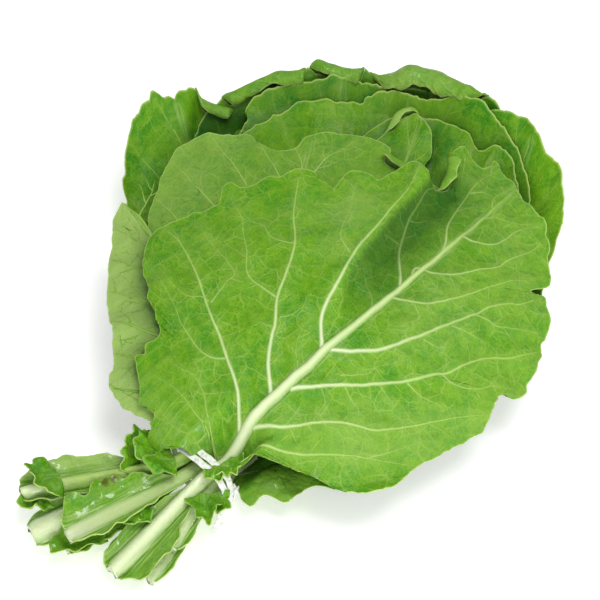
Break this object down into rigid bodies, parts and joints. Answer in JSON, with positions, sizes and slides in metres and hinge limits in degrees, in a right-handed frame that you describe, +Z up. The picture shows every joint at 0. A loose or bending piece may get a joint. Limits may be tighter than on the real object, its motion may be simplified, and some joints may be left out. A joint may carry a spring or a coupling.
{
  "type": "bunch of collard greens",
  "caption": "Bunch of broad flat collard leaves with pale ribs, tied at the neck by a white band, lying on its side with the cut stems fanned out.",
  "frame": {"origin": "middle of the bunch's box at its underside, where it lies on a flat surface", "axes": "+X from the cut stems towards the leaf tips, +Z up with the bunch lying on its side, +Y to the left of +X"},
  "size_m": [0.457, 0.3596, 0.1081],
  "materials": {
    "leaf_outer_face": "satin",
    "leaf_inside_face": "satin",
    "tie_band": "matte"
  },
  "bodies": {
    "root": {"leaf_front": "leaf_outer_face", "leaf_left": "leaf_outer_face", "leaf_second": "leaf_outer_face", "leaf_inner_small": "leaf_inside_face", "leaf_inner": "leaf_inside_face", "leaf_third": "leaf_inside_face", "leaf_fourth": "leaf_inside_face", "leaf_right": "leaf_inside_face", "leaf_back_left": "leaf_inside_face", "leaf_back": "leaf_inside_face", "tie": "tie_band"}
  },
  "joints": []
}
